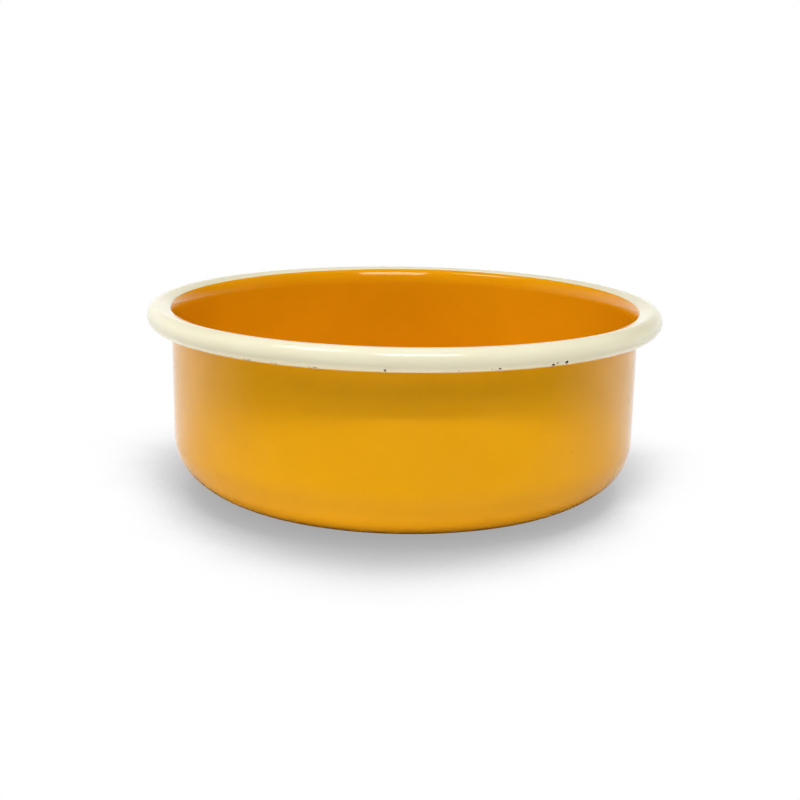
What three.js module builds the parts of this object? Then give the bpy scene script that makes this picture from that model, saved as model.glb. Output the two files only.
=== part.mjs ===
// Enamelled pet bowl: one pressed steel sheet with a rolled rim, a dark ground coat fired on
// to it, and glossy cover enamel on top, yellow on the body and cream on the rim.
// Millimetres, +Z up, origin on the table at the centre of the base.
import * as THREE from 'three';

// Outside form, measured over the enamel
const rimDiameter = 180;
const bowlHeight = 67;
const beadHeight = 7.7;
const crownRadius = 25;
const crownLeanDegrees = 13;
const lipRadius = 1.6;
const lipLeanDegrees = 20;
const creamLeanDegrees = 40;
const flareRadius = 8.4;
const flareLeanDegrees = 57;
const wallDraftDegrees = 0.7;
const heelRadius = 17;
const footRadius = 29.5;
const footTurnDegrees = 45;
const standRingWidth = 4;
const baseRise = 1.2;

// Sheet and coats, with the hairline that keeps each layer clear of the next
const steelThickness = 0.6;
const groundCoatThickness = 0.1;
const enamelThickness = 0.2;
const bondGap = 0.02;

// Open seam between the curl's cut edge and the wall
const curlGap = 0.45;

// Facets round the bowl and along each curve of the section
const roundSegments = 48;
const floorSteps = 2;
const footSteps = 4;
const heelSteps = 3;
const flareSteps = 3;
const lipSteps = 1;
const crownSteps = 2;
const topSteps = 1;
const curlSteps = 8;
const tuckSteps = 1;

// Offsets from the middle of the sheet, the same on both of its sides
const steelFace = steelThickness / 2;
const groundBack = steelFace + bondGap;
const groundFace = groundBack + groundCoatThickness;
const enamelBack = groundFace + bondGap;
const enamelFace = enamelBack + enamelThickness;

// The section follows the middle of the sheet from the axis, over the base, up the wall and
// round the bead. Heading 0 runs outwards, and a quarter turn runs up.
const quarterTurn = Math.PI / 2;
const wallHeading = quarterTurn - THREE.MathUtils.degToRad(wallDraftDegrees);
const footTurn = THREE.MathUtils.degToRad(footTurnDegrees);
const flareLean = THREE.MathUtils.degToRad(flareLeanDegrees);
const creamLean = THREE.MathUtils.degToRad(creamLeanDegrees);
const lipLean = THREE.MathUtils.degToRad(lipLeanDegrees);
const crownLean = THREE.MathUtils.degToRad(crownLeanDegrees);
const beadRadius = beadHeight / 2;
const beadMiddle = beadRadius - enamelFace;
const crownMiddle = crownRadius - enamelFace;
const lipMiddle = lipRadius - enamelFace;
const flareMiddle = flareRadius - enamelFace;
const footMiddle = footRadius - enamelFace;
const heelMiddle = heelRadius - enamelFace;

// The normal that points to the food side of the sheet at a heading
function foodSide(heading) {
  return new THREE.Vector2(-Math.sin(heading), Math.cos(heading));
}

// A point on the middle of the sheet, with its normal
function station(x, y, heading) {
  return { middle: new THREE.Vector2(x, y), normal: foodSide(heading) };
}

// Stations round an arc from one heading to another. A growing heading curves to the food
// side and a falling one curves away from it.
function arc(centre, radius, from, to, steps) {
  const reach = from < to ? -radius : radius;
  const stations = [];
  for (let step = 0; step <= steps; step += 1) {
    const heading = THREE.MathUtils.lerp(from, to, step / steps);
    const middle = foodSide(heading).multiplyScalar(reach).add(centre);
    stations.push(station(middle.x, middle.y, heading));
  }
  return stations;
}

// Each bend of the rim starts at a lean inwards from the top of the bead and runs on smoothly
// into the next: the round of the bead, a gently sloped crown, a tight lip and a wide flare
// down to the wall, which stands in from the bead
const beadLevel = bowlHeight - beadRadius;
const curlCentre = new THREE.Vector2(rimDiameter / 2 - beadRadius, beadLevel);
const crownCentre = curlCentre.clone().addScaledVector(foodSide(crownLean), beadRadius - crownRadius);
const lipCentre = crownCentre.clone().addScaledVector(foodSide(lipLean), crownRadius - lipRadius);
const flareCentre = lipCentre.clone().addScaledVector(foodSide(flareLean), lipRadius - flareRadius);
const tuckCentre = new THREE.Vector2(flareCentre.x - flareRadius + beadRadius, beadLevel);

// Rim: flare, lip, crown, curl, and the edge tucked back to the wall. The cream begins on the lip.
const tuckRise = Math.asin((beadRadius - 2 * enamelFace - curlGap) / beadRadius);
const flare = arc(flareCentre, flareMiddle, wallHeading, flareLean, flareSteps);
const yellowLip = arc(lipCentre, lipMiddle, flareLean, creamLean, lipSteps);
const creamLip = arc(lipCentre, lipMiddle, creamLean, lipLean, lipSteps);
const crown = arc(crownCentre, crownMiddle, lipLean, crownLean, crownSteps);
const top = arc(curlCentre, beadMiddle, crownLean, 0, topSteps);
const curl = arc(curlCentre, beadMiddle, 0, -Math.PI, curlSteps);
const tuck = arc(tuckCentre, beadMiddle, -Math.PI, -Math.PI - tuckRise, tuckSteps);

// Cove: a wide foot that meets the table, then a tighter heel that meets the straight wall
const wallTop = flare[0].middle;
const wallNormal = flare[0].normal;
const heelReach = footRadius - heelRadius;
const heelLevel = footRadius - heelReach * Math.cos(footTurn);
const heelLean = (heelLevel - wallTop.y) * wallNormal.y;
const heelCentre = new THREE.Vector2(wallTop.x + (heelMiddle - heelLean) / wallNormal.x, heelLevel);
const footCentre = heelCentre.clone().addScaledVector(foodSide(footTurn), heelReach);
const foot = arc(footCentre, footMiddle, 0, footTurn, footSteps);
const heel = arc(heelCentre, heelMiddle, footTurn, wallHeading, heelSteps);

// Base: a level ring that stands on the table, round a floor that rises to the centre
const ringInside = footCentre.x - standRingWidth;
const domeRadius = (ringInside ** 2 + baseRise ** 2) / (2 * baseRise);
const domeCentre = new THREE.Vector2(0, enamelFace + baseRise - domeRadius);
const domeEdge = -Math.asin(ringInside / domeRadius);
const dome = arc(domeCentre, domeRadius, 0, domeEdge, floorSteps).slice(0, floorSteps);
const standRing = station(ringInside, enamelFace, 0);

// The outer coats end inside the bead, one facet up the flare
const baseAndWall = [...dome, standRing, ...foot, ...heel.slice(1)];
const outside = [...baseAndWall, ...flare.slice(0, 2)];
const lining = [...baseAndWall, ...flare, ...yellowLip.slice(1)];
const rim = [...creamLip, ...crown.slice(1), ...top.slice(1), ...curl.slice(1), ...tuck];
const wholeSheet = [...lining, ...rim.slice(1)];

// The section's line at an offset from the middle of the sheet, positive to the food side
function line(stations, offset) {
  return stations.map(({ middle, normal }) => middle.clone().addScaledVector(normal, offset));
}

// A layer of the bowl between two offsets, turned about the bowl's axis
function layer(name, stations, tableOffset, foodOffset, finish) {
  const profile = [...line(stations, tableOffset), ...line(stations, foodOffset).reverse()];
  if (stations[0].middle.x > 0) {
    profile.push(profile[0].clone());
  }
  const geometry = new THREE.LatheGeometry(profile, roundSegments);
  geometry.rotateX(quarterTurn);
  const mesh = new THREE.Mesh(geometry, new THREE.MeshStandardMaterial(finish));
  mesh.name = name;
  return mesh;
}

const bareSteel = { color: 0x9b9c9d, roughness: 0.45, metalness: 1 };
const groundCoat = { color: 0x24211f, roughness: 0.5, metalness: 0 };
const yellowEnamel = { color: 0xe3a01c, roughness: 0.12, metalness: 0 };
const creamEnamel = { color: 0xf0ead2, roughness: 0.12, metalness: 0 };

const bowl = new THREE.Group();
bowl.add(layer('steel_bowl', wholeSheet, -steelFace, steelFace, bareSteel));
bowl.add(layer('inner_ground_coat', wholeSheet, groundBack, groundFace, groundCoat));
bowl.add(layer('outer_ground_coat', outside, -groundFace, -groundBack, groundCoat));
bowl.add(layer('inner_enamel', lining, enamelBack, enamelFace, yellowEnamel));
bowl.add(layer('outer_enamel', outside, -enamelFace, -enamelBack, yellowEnamel));
bowl.add(layer('rim_enamel', rim, enamelBack, enamelFace, creamEnamel));

export default bowl;
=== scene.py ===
import math

import bmesh
import bpy
from mathutils import Matrix, Vector, noise


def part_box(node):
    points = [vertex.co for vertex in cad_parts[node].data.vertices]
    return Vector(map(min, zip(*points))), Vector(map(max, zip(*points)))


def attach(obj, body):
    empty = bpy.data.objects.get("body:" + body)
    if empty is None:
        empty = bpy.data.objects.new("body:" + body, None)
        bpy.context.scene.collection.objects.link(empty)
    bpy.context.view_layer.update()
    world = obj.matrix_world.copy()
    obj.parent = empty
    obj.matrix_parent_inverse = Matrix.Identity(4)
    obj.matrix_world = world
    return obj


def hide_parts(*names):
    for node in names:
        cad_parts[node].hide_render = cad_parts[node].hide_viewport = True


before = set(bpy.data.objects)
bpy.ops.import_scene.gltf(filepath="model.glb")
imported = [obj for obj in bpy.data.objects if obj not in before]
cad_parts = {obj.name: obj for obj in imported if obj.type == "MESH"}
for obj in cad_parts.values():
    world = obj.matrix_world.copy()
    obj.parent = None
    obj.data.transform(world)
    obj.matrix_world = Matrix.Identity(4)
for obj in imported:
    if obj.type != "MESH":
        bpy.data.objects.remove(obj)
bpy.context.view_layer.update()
print("frame:", len(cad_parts), "coats and sheet")

# camera, set where the bowl's outline falls as in the photo
cameraSet = {
    "aim": (-0.00121, 0, 0.0314),  # the point in the middle of the picture
    "distance": 0.6,
    "elevation": math.radians(12.66),
    "roll": math.radians(0.88),  # the picture leans a little to the right
    "lens": 75.73,
    "sensor": 36,
    "nearest": 0.01,
}


def addCamera():
    lens = bpy.data.cameras.new("camera")
    lens.lens = cameraSet["lens"]
    lens.sensor_width = cameraSet["sensor"]
    lens.clip_start = cameraSet["nearest"]
    camera = bpy.data.objects.new("camera", lens)
    bpy.context.collection.objects.link(camera)
    pitch = Matrix.Rotation(math.pi / 2 - cameraSet["elevation"], 4, "X")
    roll = Matrix.Rotation(cameraSet["roll"], 4, "Z")
    back = pitch.to_3x3() @ Vector((0, 0, cameraSet["distance"]))
    camera.matrix_world = Matrix.Translation(Vector(cameraSet["aim"]) + back) @ pitch @ roll
    bpy.context.scene.camera = camera


addCamera()
print("camera set")

# section of the bowl in metres, as in the solids
rimLow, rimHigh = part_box("rim_enamel")
sheet = {
    "rimRadius": rimHigh.x,
    "height": rimHigh.z,
    "beadRadius": (rimHigh.z - rimLow.z) / 2,
    "crownRadius": 0.025,
    "crownLean": math.radians(13),
    "lipRadius": 0.0016,
    "lipLean": math.radians(20),
    "creamLean": math.radians(40),
    "flareRadius": 0.0084,
    "flareLean": math.radians(57),
    "wallDraft": math.radians(0.7),
    "heelRadius": 0.017,
    "footRadius": 0.0295,
    "footTurn": math.radians(45),
    "standRing": 0.004,
    "baseRise": 0.0012,
    "steel": 0.0006,
    "groundCoat": 0.0001,
    "enamel": 0.0002,
    "bond": 0.00002,
    "curlGap": 0.00045,
}

# offsets from the middle of the sheet
steelFace = sheet["steel"] / 2
groundFace = steelFace + sheet["bond"] + sheet["groundCoat"]
enamelFace = groundFace + sheet["bond"] + sheet["enamel"]

# the rim's bends from the top of the bead inwards: top, crown, lip and flare, over the enamel
wallHeading = math.pi / 2 - sheet["wallDraft"]
beadMiddle = sheet["beadRadius"] - enamelFace
beadLevel = sheet["height"] - sheet["beadRadius"]
curlX = sheet["rimRadius"] - sheet["beadRadius"]
rimBends = [
    {"radius": sheet["beadRadius"], "from": 0, "to": sheet["crownLean"]},
    {"radius": sheet["crownRadius"], "from": sheet["crownLean"], "to": sheet["lipLean"]},
    {"radius": sheet["lipRadius"], "from": sheet["lipLean"], "to": sheet["flareLean"]},
    {"radius": sheet["flareRadius"], "from": sheet["flareLean"], "to": wallHeading},
]
last = {"radius": sheet["beadRadius"], "x": curlX, "z": beadLevel, "end": 0}
for bend in rimBends:
    wider = bend["radius"] - last["radius"]
    bend["x"] = last["x"] + wider * math.sin(bend["from"])
    bend["z"] = last["z"] - wider * math.cos(bend["from"])
    bend["start"] = last["end"]  # distance along the rim from the top of the bead
    bend["end"] = bend["start"] + bend["radius"] * (bend["to"] - bend["from"])
    last = bend
lip, flare = rimBends[2:]
creamRun = lip["start"] + lip["radius"] * (sheet["creamLean"] - lip["from"])
flareMiddle = flare["radius"] - enamelFace
tuckX = flare["x"] - flare["radius"] + sheet["beadRadius"]
tuckRise = math.asin((sheet["beadRadius"] - 2 * enamelFace - sheet["curlGap"]) / sheet["beadRadius"])

# the cove's wide foot and tighter heel, and the domed floor
wallTopX = flare["x"] - flareMiddle * math.cos(sheet["wallDraft"])
wallTopZ = flare["z"] + flareMiddle * math.sin(sheet["wallDraft"])
heelReach = sheet["footRadius"] - sheet["heelRadius"]
heelZ = sheet["footRadius"] - heelReach * math.cos(sheet["footTurn"])
heelLean = (heelZ - wallTopZ) * math.sin(sheet["wallDraft"])
heelX = wallTopX - (sheet["heelRadius"] - enamelFace - heelLean) / math.cos(sheet["wallDraft"])
footX = heelX - heelReach * math.sin(sheet["footTurn"])
ringInside = footX - sheet["standRing"]
domeRadius = (ringInside ** 2 + sheet["baseRise"] ** 2) / (2 * sheet["baseRise"])
domeZ = enamelFace + sheet["baseRise"] - domeRadius

# steps along each stretch of the drawn line
lineSteps = {"dome": 12, "ring": 2, "foot": 16, "heel": 16, "wall": 14, "bead": 28, "tuck": 2, "edge": 5}


def startLine(bm, x, z):
    return bmesh.ops.create_vert(bm, co=(x, 0, z))["vert"][0]


# draws on from the end of the line, straight to a point
def runTo(bm, tip, x, z, steps=1):
    start = tip.co.copy()
    for step in range(1, steps + 1):
        tip = bmesh.ops.extrude_vert_indiv(bm, verts=[tip])["verts"][0]
        tip.co = start.lerp(Vector((x, 0, z)), step / steps)
    return tip


# swings the end of the line round a centre, clockwise for a positive angle as seen from the front
def swing(bm, tip, x, z, angle, steps):
    swung = bmesh.ops.spin(bm, geom=[tip], cent=(x, 0, z), axis=(0, 1, 0), angle=angle, steps=steps)
    return next(part for part in swung["geom_last"] if isinstance(part, bmesh.types.BMVert))


# floor, stand ring, cove and wall, at an offset to the food side
def drawBase(bm, offset):
    tip = startLine(bm, 0, domeZ + domeRadius + offset)
    tip = swing(bm, tip, 0, domeZ, math.asin(ringInside / domeRadius), lineSteps["dome"])
    tip = runTo(bm, tip, footX, enamelFace + offset, lineSteps["ring"])
    tip = swing(bm, tip, footX, sheet["footRadius"], -sheet["footTurn"], lineSteps["foot"])
    tip = swing(bm, tip, heelX, heelZ, sheet["footTurn"] - wallHeading, lineSteps["heel"])
    return runTo(bm, tip, *rimPoint(flare["end"], offset), lineSteps["wall"])


# a point of the rim at a distance from the top of the bead
def rimPoint(run, offset):
    bend = next((bend for bend in rimBends if run < bend["end"]), flare)
    lean = bend["from"] + (run - bend["start"]) / bend["radius"]
    radius = bend["radius"] - enamelFace + offset
    return bend["x"] - radius * math.sin(lean), bend["z"] + radius * math.cos(lean)


# how far past a bend's ends, and how far off it, a point still counts as on it
rimSlack = {"run": 1e-6, "gap": 1e-5}


# the distance back from a point, or nothing when the point isn't on these bends
def rimRun(reach, height, offset):
    for bend in rimBends:
        lean = math.atan2(bend["x"] - reach, height - bend["z"])
        run = bend["start"] + (lean - bend["from"]) * bend["radius"]
        near = bend["start"] - rimSlack["run"] < run < bend["end"] + rimSlack["run"]
        if near and math.dist((reach, height), rimPoint(run, offset)) < rimSlack["gap"]:
            return run
    return None


# follows the rim from one distance to another
def followRim(bm, tip, begin, end, offset, steps):
    for step in range(1, steps + 1):
        tip = runTo(bm, tip, *rimPoint(begin + (end - begin) * step / steps, offset))
    return tip


# the rest of the rim, round the curl to the cut edge
def drawCurl(bm, tip, offset):
    tip = swing(bm, tip, curlX, beadLevel, math.pi, lineSteps["bead"])
    tip = runTo(bm, tip, tuckX, beadLevel - beadMiddle - offset, lineSteps["tuck"])
    swing(bm, tip, tuckX, beadLevel, tuckRise, lineSteps["edge"])


mergeDistance = 1e-6


# turns the drawn line into a round skin whose faces look to the food side or away from it
def spinSkin(bm, segments, toFood):
    line = bm.verts[:] + bm.edges[:]
    bmesh.ops.spin(
        bm, geom=line, cent=(0, 0, 0), axis=(0, 0, 1), angle=math.tau, steps=segments, use_merge=True)
    bmesh.ops.remove_doubles(bm, verts=bm.verts, dist=mergeDistance)
    bmesh.ops.recalc_face_normals(bm, faces=bm.faces)
    inmost = min(bm.faces, key=lambda face: face.calc_center_median().xy.length)
    if (inmost.normal.z > 0) != toFood:
        bmesh.ops.reverse_faces(bm, faces=bm.faces)


# fired enamel is never quite true: the skin swells and dips by a few hundredths of a millimetre
unevenness = {"height": 0.00003, "scale": 55}


def makeUneven(skin):
    for vert in skin:
        swell = noise.noise(vert.co * unevenness["scale"])
        vert.co += vert.normal * swell * unevenness["height"]


# the dipped cream runs further over the lip at the front than at the back, with a wavy edge
creamEdge = {
    "least": 0.0026,
    "more": 0.00265,
    "turn": math.radians(-9),
    "power": 0.5,
    "ripple": 0.00004,
    "waves": 11,  # ripples round the bowl, closer together in some places
    "sway": 2,
    "swayWaves": 3,
    "fineWaves": 23,
    "fineShare": 0.6,
    "fineStart": 1,
}


def edgeRun(around):
    share = (1 - math.cos(around + creamEdge["turn"])) / 2
    sway = creamEdge["sway"] * math.sin(creamEdge["swayWaves"] * around)
    fine = math.sin(creamEdge["fineWaves"] * around + creamEdge["fineStart"])
    ripple = math.sin(creamEdge["waves"] * around + sway) + creamEdge["fineShare"] * fine
    forward = creamEdge["more"] * share ** creamEdge["power"]
    return creamEdge["least"] + forward + creamEdge["ripple"] * ripple


# moves the skin along the rim so that its edge follows the cream's edge
def wanderEdge(bm, offset, fixedRun):
    for vert in bm.verts:
        run = rimRun(vert.co.xy.length, vert.co.z, offset)
        if run is not None:
            around = math.atan2(vert.co.x, vert.co.y)
            share = (run - fixedRun) / (creamRun - fixedRun)
            reach, height = rimPoint(fixedRun + share * (edgeRun(around) - fixedRun), offset)
            vert.co = (reach * math.sin(around), reach * math.cos(around), height)


sharpAngle = math.radians(40)


# gives the skin its thickness and makes it a piece of the bowl
def finishCoat(bm, coat):
    skin = bm.verts[:]
    bmesh.ops.solidify(bm, geom=bm.faces[:], thickness=coat["thickness"])
    if coat["uneven"]:
        bm.normal_update()
        makeUneven(skin)
    for face in bm.faces:
        face.smooth = True
    for edge in bm.edges:
        edge.smooth = edge.calc_face_angle(0) < sharpAngle
    mesh = bpy.data.meshes.new(coat["name"])
    bm.to_mesh(mesh)
    bm.free()
    mesh.materials.append(coat["finish"])
    piece = bpy.data.objects.new(coat["name"], mesh)
    bpy.context.collection.objects.link(piece)
    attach(piece, "root")
    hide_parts(coat["node"])
    print(coat["name"], len(mesh.polygons), "faces")


def addNode(tree, kind, **inputs):
    node = tree.nodes.new(kind)
    for name, value in inputs.items():
        node.inputs[name].default_value = value
    return node


def cloud(tree, where, scale, detail):
    node = addNode(tree, "ShaderNodeTexNoise", Scale=scale, Detail=detail, Roughness=0.5)
    tree.links.new(where.outputs["Object"], node.inputs["Vector"])
    return node.outputs["Fac"]


def spread(tree, value, low, high, fromLow=0.3, fromHigh=0.7):
    node = tree.nodes.new("ShaderNodeMapRange")
    node.inputs["From Min"].default_value = fromLow
    node.inputs["From Max"].default_value = fromHigh
    node.inputs["To Min"].default_value = low
    node.inputs["To Max"].default_value = high
    tree.links.new(value, node.inputs["Value"])
    return node.outputs["Result"]


def blendColours(tree, amount, first, second):
    node = tree.nodes.new("ShaderNodeMix")
    node.data_type = "RGBA"
    tree.links.new(amount, node.inputs["Factor"])
    for value, socket in ((first, node.inputs["A"]), (second, node.inputs["B"])):
        if isinstance(value, tuple):
            socket.default_value = (*value, 1)
        else:
            tree.links.new(value, socket)
    return node.outputs["Result"]


def maths(tree, operation, first, second=0.0):
    node = tree.nodes.new("ShaderNodeMath")
    node.operation = operation
    for value, socket in ((first, node.inputs[0]), (second, node.inputs[1])):
        if isinstance(value, (int, float)):
            socket.default_value = value
        else:
            tree.links.new(value, socket)
    return node.outputs["Value"]


# a few fine dark specks: small spots in some of the cells of a scattered pattern
def specks(tree, where, look):
    cells = addNode(tree, "ShaderNodeTexVoronoi", Scale=look["scale"], Randomness=1.0)
    tree.links.new(where.outputs["Object"], cells.inputs["Vector"])
    pick = tree.nodes.new("ShaderNodeSeparateColor")
    tree.links.new(cells.outputs["Color"], pick.inputs["Color"])
    spot = maths(tree, "LESS_THAN", cells.outputs["Distance"], look["size"])
    chosen = maths(tree, "LESS_THAN", pick.outputs["Red"], look["share"])
    return maths(tree, "MULTIPLY", maths(tree, "MULTIPLY", spot, chosen), look["strength"])


# starts a finish with a clouded colour and gloss
def cloudedFinish(name, look):
    finish = bpy.data.materials.new(name)
    finish.use_nodes = True
    tree = finish.node_tree
    where = tree.nodes.new("ShaderNodeTexCoord")
    tone = spread(tree, cloud(tree, where, *look["clouds"]), 0, 1)
    colour = blendColours(tree, tone, look["light"], look["deep"])
    gloss = spread(tree, cloud(tree, where, *look["glossClouds"]), *look["roughness"])
    return finish, where, colour, gloss


def linkFinish(tree, colour, gloss):
    shader = tree.nodes["Principled BSDF"]
    tree.links.new(colour, shader.inputs["Base Color"])
    tree.links.new(gloss, shader.inputs["Roughness"])
    return shader


# clouds are given as scale and detail; the peel is the glaze's fine orange peel, in metres
yellowInsidePaintedShade = {
    "light": (0.775, 0.332, 0.003),  # the food side is set darker than the outside: painted shade for the hollow of the bowl
    "deep": (0.74, 0.307, 0.002),
    "clouds": (32, 3),
    "glossClouds": (70, 2),
    "roughness": (0.07, 0.12),
    "specks": {"scale": 240, "size": 0.05, "share": 0.12, "strength": 0.5},
    "speckColour": (0.32, 0.12, 0.01),
    "peelClouds": (210, 2),
    "peel": 0.000008,
    "reflection": (1.0, 0.9, 0.7),
    "ior": 1.5,
}
yellowOutside = {**yellowInsidePaintedShade, "light": (0.82, 0.382, 0.005), "deep": (0.785, 0.358, 0.004)}
creamSet = {
    "light": (0.81, 0.765, 0.57),
    "deep": (0.785, 0.74, 0.54),
    "clouds": (45, 3),
    "glossClouds": (80, 2),
    "roughness": (0.07, 0.12),
    "specks": {"scale": 260, "size": 0.05, "share": 0.15, "strength": 0.6},
    "speckColour": (0.36, 0.30, 0.18),
    "peelClouds": (230, 2),
    "peel": 0.000008,
    "reflection": (1.0, 1.0, 1.0),
    "ior": 1.5,
}
# patches rubbed dull by the floor, between these heights on the outside
rubbedSet = {
    "colour": (0.46, 0.20, 0.015),
    "height": (0.00002, 0.00013),
    "clouds": (650, 4),
    "patches": (0.4, 0.65),
    "most": 0.5,
    "roughness": 0.3,
}


def rubbedRing(tree, where):
    along = tree.nodes.new("ShaderNodeSeparateXYZ")
    tree.links.new(where.outputs["Object"], along.inputs[0])
    low = spread(tree, along.outputs["Z"], 1, 0, *rubbedSet["height"])
    clouds = cloud(tree, where, *rubbedSet["clouds"])
    patches = spread(tree, clouds, 0, rubbedSet["most"], *rubbedSet["patches"])
    return maths(tree, "MULTIPLY", low, patches)


def firedEnamel(name, look, standing=False):
    finish, where, colour, gloss = cloudedFinish(name, look)
    tree = finish.node_tree
    colour = blendColours(tree, specks(tree, where, look["specks"]), colour, look["speckColour"])
    if standing:
        rubbed = rubbedRing(tree, where)
        colour = blendColours(tree, rubbed, colour, rubbedSet["colour"])
        gloss = maths(tree, "ADD", gloss, maths(tree, "MULTIPLY", rubbed, rubbedSet["roughness"]))
    shader = linkFinish(tree, colour, gloss)
    peel = addNode(tree, "ShaderNodeBump", Strength=1.0, Distance=look["peel"])
    tree.links.new(cloud(tree, where, *look["peelClouds"]), peel.inputs["Height"])
    tree.links.new(peel.outputs["Normal"], shader.inputs["Normal"])
    shader.inputs["IOR"].default_value = look["ior"]
    shader.inputs["Specular Tint"].default_value = (*look["reflection"], 1)
    return finish


groundSet = {
    "light": (0.006, 0.005, 0.005),
    "deep": (0.016, 0.013, 0.010),
    "clouds": (600, 4),
    "glossClouds": (400, 2),
    "roughness": (0.6, 0.8),
    "specular": 0.1,
}


def groundCoat():
    finish, _, colour, gloss = cloudedFinish("ground_coat", groundSet)
    shader = linkFinish(finish.node_tree, colour, gloss)
    shader.inputs["Specular IOR Level"].default_value = groundSet["specular"]
    return finish


steelSet = {
    "light": (0.40, 0.39, 0.38),
    "deep": (0.30, 0.27, 0.25),
    "clouds": (300, 5),
    "glossClouds": (500, 3),
    "roughness": (0.35, 0.55),
}


def bareSteel():
    finish, _, colour, gloss = cloudedFinish("bare_steel", steelSet)
    shader = linkFinish(finish.node_tree, colour, gloss)
    shader.inputs["Metallic"].default_value = 1
    return finish


# the inside finish takes the darker inside colours, painted shade for the hollow of the bowl
insidePaintedShadeFinish = firedEnamel("yellow_enamel_inside_painted_shade", yellowInsidePaintedShade)
outsideFinish = firedEnamel("yellow_enamel_outside", yellowOutside, True)
creamFinish = firedEnamel("cream_enamel", creamSet)
groundFinish = groundCoat()
steelFinish = bareSteel()
print("finishes mixed")


# a layer that goes from the middle of the floor round the bead to the cut edge
def makeWrapped(coat):
    bm = bmesh.new()
    start = drawBase(bm, coat["offset"])
    tip = followRim(bm, start, flare["end"], 0, coat["offset"], coat["rimSteps"])
    drawCurl(bm, tip, coat["offset"])
    spinSkin(bm, coat["roundSteps"], True)
    finishCoat(bm, coat)


# the outer coats end inside the bead, a third of the way up the flare
outerEnd = flare["end"] - (flare["end"] - flare["start"]) / 3


def makeOuter(coat):
    bm = bmesh.new()
    start = drawBase(bm, coat["offset"])
    followRim(bm, start, flare["end"], outerEnd, coat["offset"], coat["rimSteps"])
    spinSkin(bm, coat["roundSteps"], False)
    finishCoat(bm, coat)


steelBowl = {
    "name": "steelBowl",
    "node": "steel_bowl",
    "slot": "bare_steel",
    "finish": steelFinish,
    "thickness": sheet["steel"],
    "offset": steelFace,
    "rimSteps": 48,
    "roundSteps": 192,
    "uneven": False,
}
makeWrapped(steelBowl)

innerGroundCoat = {
    "name": "innerGroundCoat",
    "node": "inner_ground_coat",
    "slot": "ground_coat",
    "finish": groundFinish,
    "thickness": sheet["groundCoat"],
    "offset": groundFace,
    "rimSteps": 48,
    "roundSteps": 192,
    "uneven": False,
}
makeWrapped(innerGroundCoat)

outerGroundCoat = {
    "name": "outerGroundCoat",
    "node": "outer_ground_coat",
    "slot": "ground_coat",
    "finish": groundFinish,
    "thickness": sheet["groundCoat"],
    "offset": -groundFace,
    "rimSteps": 6,
    "roundSteps": 192,
    "uneven": False,
}
makeOuter(outerGroundCoat)

innerEnamel = {
    "name": "innerEnamel",
    "node": "inner_enamel",
    "slot": "yellow_enamel",
    "finish": insidePaintedShadeFinish,
    "thickness": sheet["enamel"],
    "offset": enamelFace,
    "rimSteps": 30,
    "roundSteps": 384,
    "uneven": True,
}


def makeInnerEnamel(coat):
    bm = bmesh.new()
    start = drawBase(bm, coat["offset"])
    followRim(bm, start, flare["end"], creamRun, coat["offset"], coat["rimSteps"])
    spinSkin(bm, coat["roundSteps"], True)
    wanderEdge(bm, coat["offset"], flare["end"])
    finishCoat(bm, coat)


makeInnerEnamel(innerEnamel)

outerEnamel = {
    "name": "outerEnamel",
    "node": "outer_enamel",
    "slot": "yellow_enamel",
    "finish": outsideFinish,
    "thickness": sheet["enamel"],
    "offset": -enamelFace,
    "rimSteps": 6,
    "roundSteps": 256,
    "uneven": True,
}
makeOuter(outerEnamel)

rimEnamel = {
    "name": "rimEnamel",
    "node": "rim_enamel",
    "slot": "cream_enamel",
    "finish": creamFinish,
    "thickness": sheet["enamel"],
    "offset": enamelFace,
    "rimSteps": 28,
    "roundSteps": 384,
    "uneven": True,
    "holeSides": 10,
    "holePatch": 0.003,  # a hole is cut in the faces this near to it
    "holeRagged": 0.12,  # how far a hole departs from round
    "holeWander": 2.7,
    "holeMerge": 1e-7,
}

# pinholes through the cream near the bottom of the bead, with the dark ground coat below them
# around: degrees from the front, to the right; dip: degrees below level round the bead
pinholes = [
    {"around": -3.8, "dip": 47, "radius": 0.00044},
    {"around": 31.3, "dip": 50, "radius": 0.00056},
    {"around": 32.1, "dip": 38, "radius": 0.00032},
    {"around": 34.4, "dip": 39, "radius": 0.00054},
    {"around": 19.1, "dip": 45, "radius": 0.00042},
    {"around": 17.5, "dip": 46, "radius": 0.00022},
    {"around": 10.7, "dip": 48, "radius": 0.00022},
    {"around": -37.6, "dip": 55, "radius": 0.00028},
    {"around": -34.3, "dip": 56, "radius": 0.00032},
    {"around": -33.6, "dip": 56, "radius": 0.00024},
    {"around": -33.0, "dip": 55, "radius": 0.00034},
    {"around": -27.5, "dip": 56, "radius": 0.00030},
    {"around": -26.6, "dip": 55, "radius": 0.00032},
    {"around": -19.2, "dip": 56, "radius": 0.00028},
    {"around": -18.3, "dip": 55, "radius": 0.00026},
    {"around": -17.8, "dip": 56, "radius": 0.00032},
]


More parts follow.
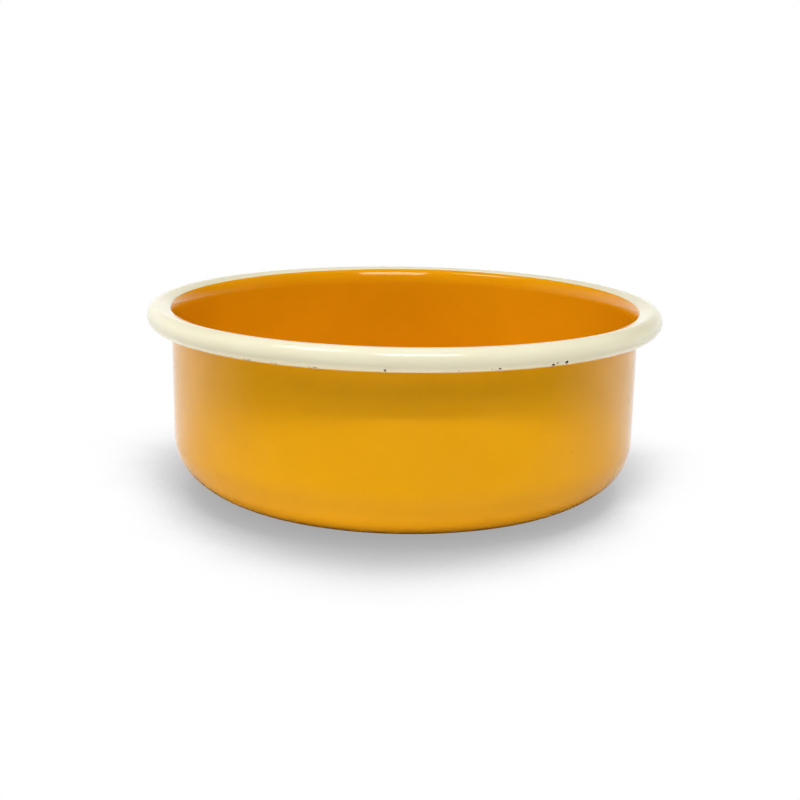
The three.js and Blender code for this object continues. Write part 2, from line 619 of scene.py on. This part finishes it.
# pricks one hole straight back, so that it is round as seen from the front
def pierce(bm, hole, coat):
    turn = Matrix.Rotation(math.radians(hole["around"]), 3, "Z")
    dip = math.radians(hole["dip"])
    normal = turn @ Vector((0, -math.cos(dip), -math.sin(dip)))
    spot = turn @ Vector((0, -curlX, beadLevel)) + normal * sheet["beadRadius"]
    patch = [face for face in bm.faces if (face.calc_center_median() - spot).length < coat["holePatch"]]
    cuts = []
    for side in range(coat["holeSides"]):
        angle = side * math.tau / coat["holeSides"]
        outward = Vector((math.cos(angle), 0, math.sin(angle)))
        ragged = coat["holeRagged"] * math.sin(coat["holeWander"] * side + hole["around"])
        reach = hole["radius"] * (1 + ragged)
        cuts.append((outward, reach))
        edges = {edge for face in patch for edge in face.edges}
        verts = {vert for face in patch for vert in face.verts}
        geometry = patch + list(edges) + list(verts)
        place = spot + outward * reach
        cut = bmesh.ops.bisect_plane(
            bm, geom=geometry, dist=coat["holeMerge"], plane_co=place, plane_no=outward)
        patch = [part for part in cut["geom"] if isinstance(part, bmesh.types.BMFace)]
    gone = []
    for face in patch:
        away = face.calc_center_median() - spot
        if all(away.dot(outward) < reach for outward, reach in cuts):
            gone.append(face)
    bmesh.ops.delete(bm, geom=gone, context="FACES")


def makeRimEnamel(coat):
    bm = bmesh.new()
    start = startLine(bm, *rimPoint(creamRun, coat["offset"]))
    tip = followRim(bm, start, creamRun, 0, coat["offset"], coat["rimSteps"])
    drawCurl(bm, tip, coat["offset"])
    spinSkin(bm, coat["roundSteps"], True)
    wanderEdge(bm, coat["offset"], 0)
    for hole in pinholes:
        pierce(bm, hole, coat)
    finishCoat(bm, coat)


makeRimEnamel(rimEnamel)

# white studio: floor and surroundings white to the eye, the floor with a painted shadow, softboxes over
# the camera
studio = {
    "floorSize": 6.0,
    "floorDrop": 0.00002,
    "floorColour": (0.94, 0.94, 0.94),
    "floorFar": (0.7, 0.7, 0.7),
    "floorLit": (0.16, 0.34),  # the floor's colour fades to the far one between these distances
    "floorGlow": 0.135,
    "glowOpen": (0.1, 0.5),  # the glow fades where less of the room is open above the floor
    "shadowReach": 0.085,  # the floor's painted shadow darkens where the bowl hides the room within this distance
    "shadowSamples": 16,
    "sideLift": 0.36,  # the painted shadow is lightened to the left and right, less towards the back
    "liftTurn": (-0.3, 0.45),
    "liftShift": 0.008,
    "liftPower": 1.5,
    "backLight": 0.4,  # the room's own light comes from the back
    # the glaze mirrors a room that is white near the horizon, higher on the left, and dark to the front
    "mirrorTop": (0.15, 0.48),
    "mirrorTilt": 0.2,
    "mirrorFront": 0.02,
    "mirrorTurn": (-0.4, 0.6),
    "mirrorFloor": (-0.13, 0.06),  # the mirrored floor is painted darker towards the front between these, a painted dark reflection
}
# the floor's painted brightness against the open share of the room above it: a painted shadow as seen,
# painted darker as mirrored
shadowSteps = [(0.0, 0.38), (0.42, 0.46), (0.54, 0.515), (0.66, 0.665), (0.78, 0.935), (0.86, 1.0)]
# painted dark reflection: the floor as mirrored is darkened where the bowl hides the room
mirroredSteps = [(0.0, 0.0), (0.3, 0.08), (0.5, 0.5), (0.62, 1.0)]
# turn and rise in degrees as seen from the bowl; the glaze mirrors the two large boxes only
softboxes = [
    {"name": "softboxFront", "turn": 9, "rise": 57, "size": (0.69, 0.42), "power": 7.3, "mirrored": True},
    {"name": "softboxLeft", "turn": -72, "rise": 64, "size": (0.49, 0.45), "power": 4.5, "mirrored": True},
    {"name": "keyLamp", "turn": 4, "rise": 63, "size": (0.42, 0.08), "power": 10.5, "mirrored": False},
    {"name": "sideLampLeft", "turn": -95, "rise": 30, "size": (0.8, 0.6), "power": 6.3, "mirrored": False},
    {"name": "sideLampRight", "turn": 95, "rise": 30, "size": (0.8, 0.6), "power": 4.2, "mirrored": False},
]
lampDistance = 1.5


def seenWhite(tree):
    path = tree.nodes.new("ShaderNodeLightPath")
    seen = maths(tree, "MAXIMUM", path.outputs["Is Camera Ray"], path.outputs["Is Glossy Ray"])
    return maths(tree, "MAXIMUM", seen, path.outputs["Is Transmission Ray"])


# brightness by steps of another value
def ramp(tree, value, steps):
    node = tree.nodes.new("ShaderNodeValToRGB")
    for position, _ in steps[2:]:
        node.color_ramp.elements.new(position)
    for stop, (position, brightness) in zip(node.color_ramp.elements, steps):
        stop.position = position
        stop.color = (brightness, brightness, brightness, 1)
    tree.links.new(value, node.inputs["Fac"])
    return node.outputs["Color"]


# how much the painted floor shadow is lightened, by direction from the bowl
def shadowLift(tree, along, away):
    shifted = maths(tree, "ABSOLUTE", maths(tree, "ADD", along["X"], studio["liftShift"]))
    sideways = maths(tree, "POWER", maths(tree, "DIVIDE", shifted, away), studio["liftPower"])
    backward = maths(tree, "DIVIDE", along["Y"], away)
    most = spread(tree, backward, studio["sideLift"], 0, *studio["liftTurn"])
    return maths(tree, "MULTIPLY", sideways, most)


# the floor as the camera sees it, with a painted shadow, and as the glaze mirrors it, painted darker near
# the bowl and to the front
def floorBrightness(tree, along, away, opened):
    lifted = maths(tree, "MULTIPLY", opened, maths(tree, "ADD", shadowLift(tree, along, away), 1.0))
    seen = ramp(tree, lifted, shadowSteps)
    # painted dark reflection of the floor, darker near the bowl and towards the front
    front = spread(tree, along["Y"], studio["mirrorFront"], 1, *studio["mirrorFloor"])
    mirrored = maths(tree, "MULTIPLY", ramp(tree, opened, mirroredSteps), front)
    path = tree.nodes.new("ShaderNodeLightPath")
    return blendColours(tree, path.outputs["Is Glossy Ray"], seen, mirrored)


def floorFinish():
    finish = bpy.data.materials.new("floor_white")
    finish.use_nodes = True
    tree = finish.node_tree
    tree.nodes.clear()
    where = tree.nodes.new("ShaderNodeTexCoord")
    along = tree.nodes.new("ShaderNodeSeparateXYZ")
    tree.links.new(where.outputs["Object"], along.inputs[0])
    length = tree.nodes.new("ShaderNodeVectorMath")
    length.operation = "LENGTH"
    tree.links.new(where.outputs["Object"], length.inputs[0])
    away = length.outputs["Value"]
    hidden = addNode(tree, "ShaderNodeAmbientOcclusion", Distance=studio["shadowReach"])
    hidden.samples = studio["shadowSamples"]
    opened = hidden.outputs["AO"]

    # the floor seen by the camera is an emission: white, with the bowl's shadow painted in from the open
    # share of the room
    whiteWithPaintedShadow = tree.nodes.new("ShaderNodeEmission")
    tree.links.new(floorBrightness(tree, along.outputs, away, opened), whiteWithPaintedShadow.inputs["Strength"])
    matt = tree.nodes.new("ShaderNodeBsdfDiffuse")
    far = spread(tree, away, 0, 1, *studio["floorLit"])
    colour = blendColours(tree, far, studio["floorColour"], studio["floorFar"])
    tree.links.new(colour, matt.inputs["Color"])
    glow = tree.nodes.new("ShaderNodeEmission")
    glowing = spread(tree, opened, 0, studio["floorGlow"], *studio["glowOpen"])
    tree.links.new(glowing, glow.inputs["Strength"])

    lit = tree.nodes.new("ShaderNodeAddShader")
    tree.links.new(matt.outputs[0], lit.inputs[0])
    tree.links.new(glow.outputs[0], lit.inputs[1])
    surface = tree.nodes.new("ShaderNodeMixShader")
    tree.links.new(seenWhite(tree), surface.inputs["Fac"])
    tree.links.new(lit.outputs[0], surface.inputs[1])
    tree.links.new(whiteWithPaintedShadow.outputs[0], surface.inputs[2])
    out = tree.nodes.new("ShaderNodeOutputMaterial")
    tree.links.new(surface.outputs[0], out.inputs["Surface"])
    return finish


def addFloor():
    bm = bmesh.new()
    bmesh.ops.create_grid(bm, x_segments=1, y_segments=1, size=studio["floorSize"] / 2)
    bmesh.ops.translate(bm, verts=bm.verts, vec=(0, 0, -studio["floorDrop"]))
    mesh = bpy.data.meshes.new("floor")
    bm.to_mesh(mesh)
    bm.free()
    mesh.materials.append(floorFinish())
    floor = bpy.data.objects.new("floor", mesh)
    bpy.context.collection.objects.link(floor)


# the room's light by direction, strongest straight from the back
def roomLight(tree, along):
    backward = maths(tree, "MAXIMUM", along["Y"], 0.0)
    return maths(tree, "MULTIPLY", maths(tree, "MULTIPLY", backward, backward), studio["backLight"])


def mirroredRoom(tree, along):
    height = maths(tree, "ADD", along["Z"], maths(tree, "MULTIPLY", along["X"], studio["mirrorTilt"]))
    low = spread(tree, height, 1, 0, *studio["mirrorTop"])
    front = spread(tree, along["Y"], studio["mirrorFront"], 1, *studio["mirrorTurn"])
    return maths(tree, "MULTIPLY", low, front)


def addSurroundings():
    world = bpy.data.worlds.new("white_room")
    world.use_nodes = True
    tree = world.node_tree
    room = tree.nodes["Background"]
    room.inputs["Color"].default_value = (1, 1, 1, 1)
    where = tree.nodes.new("ShaderNodeTexCoord")
    along = tree.nodes.new("ShaderNodeSeparateXYZ")
    tree.links.new(where.outputs["Generated"], along.inputs[0])
    path = tree.nodes.new("ShaderNodeLightPath")
    mirrored = maths(tree, "MAXIMUM", path.outputs["Is Glossy Ray"], path.outputs["Is Transmission Ray"])
    light = blendColours(
        tree, mirrored, roomLight(tree, along.outputs), mirroredRoom(tree, along.outputs))
    seen = blendColours(tree, path.outputs["Is Camera Ray"], light, (1.0, 1.0, 1.0))
    tree.links.new(seen, room.inputs["Strength"])
    bpy.context.scene.world = world


def addSoftboxes():
    for box in softboxes:
        lamp = bpy.data.lights.new(box["name"], "AREA")
        lamp.shape = "RECTANGLE"
        lamp.size, lamp.size_y = box["size"]
        lamp.energy = box["power"]
        light = bpy.data.objects.new(box["name"], lamp)
        bpy.context.collection.objects.link(light)
        turn = Matrix.Rotation(math.radians(box["turn"]), 4, "Z")
        tilt = Matrix.Rotation(math.pi / 2 - math.radians(box["rise"]), 4, "X")
        light.matrix_world = turn @ tilt @ Matrix.Translation((0, 0, lampDistance))
        light.visible_glossy = box["mirrored"]


addFloor()
addSurroundings()
addSoftboxes()
bpy.context.scene.view_settings.view_transform = "Standard"
print("studio lit")
